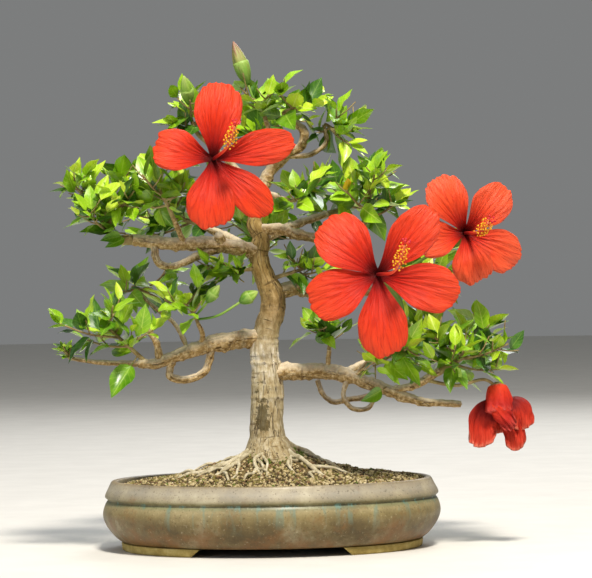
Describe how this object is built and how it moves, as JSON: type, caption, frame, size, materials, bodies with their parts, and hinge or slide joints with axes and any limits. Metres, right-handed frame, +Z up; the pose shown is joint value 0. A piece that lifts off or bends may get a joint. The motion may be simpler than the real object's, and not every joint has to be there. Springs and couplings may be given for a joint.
{
  "type": "hibiscus bonsai in an oval pot",
  "caption": "Flowering hibiscus trained as a small tree, with spreading boughs, leafy sprays and large red blooms, in a shallow oval glazed pot with soil.",
  "frame": {"origin": "on the ground under the middle of the whole plant's box", "axes": "+Z up, +X to the right as seen from the front, -Y towards the front with the open flowers"},
  "size_m": [0.3796, 0.2538, 0.4044],
  "materials": {
    "glaze": "matt olive glaze",
    "clay": "raw ochre clay",
    "soil": "loose grit and baked clay granules",
    "bark": "pale rough bark",
    "leaf": "glossy green leaf",
    "petal": "satin red petal",
    "spent": "wilted dark red petal"
  },
  "bodies": {
    "root": {"pot": "glaze", "pot_foot_left": "clay", "pot_foot_right": "clay", "soil": "soil", "trunk": "bark", "leader": "bark", "lower_left_bough": "bark", "lower_left_tip": "bark", "lower_left_shoot": "bark", "lower_left_loop": "bark", "lower_left_spur": "bark", "lower_right_bough": "bark", "lower_right_fork": "bark", "lower_right_back_bough": "bark", "lower_right_stub": "bark", "lower_right_spur": "bark", "lower_right_loop": "bark", "lower_right_hook": "bark", "mid_left_bough": "bark", "mid_left_loop": "bark", "mid_left_spur": "bark", "back_left_bough": "bark", "mid_right_bough": "bark", "right_bough": "bark", "back_right_bough": "bark", "centre_back_bough": "bark", "top_back_bough": "bark", "upper_left_bough": "bark", "apex_shoot": "bark", "top_curl": "bark", "top_right_loop": "bark", "middle_spur": "bark", "top_flower": "petal", "right_flower": "petal", "far_right_flower": "petal", "spent_flower": "spent", "lower_left_leaves": "leaf", "lower_left_back_leaves": "leaf", "lower_left_side_leaves": "leaf", "mid_left_leaves": "leaf", "mid_left_front_leaves": "leaf", "upper_left_leaves": "leaf", "apex_leaves": "leaf", "top_leaves": "leaf", "top_right_leaves": "leaf", "right_upper_leaves": "leaf", "middle_leaves": "leaf", "right_mid_leaves": "leaf", "lower_right_leaves": "leaf", "lower_right_back_leaves": "leaf", "lower_right_inner_leaves": "leaf", "centre_right_leaves": "leaf", "centre_left_leaves": "leaf", "lower_right_spur_leaves": "leaf", "back_left_leaves": "leaf", "back_right_leaves": "leaf", "centre_back_leaves": "leaf", "top_back_leaves": "leaf", "lower_left_tip_leaves": "leaf"}
  },
  "joints": []
}
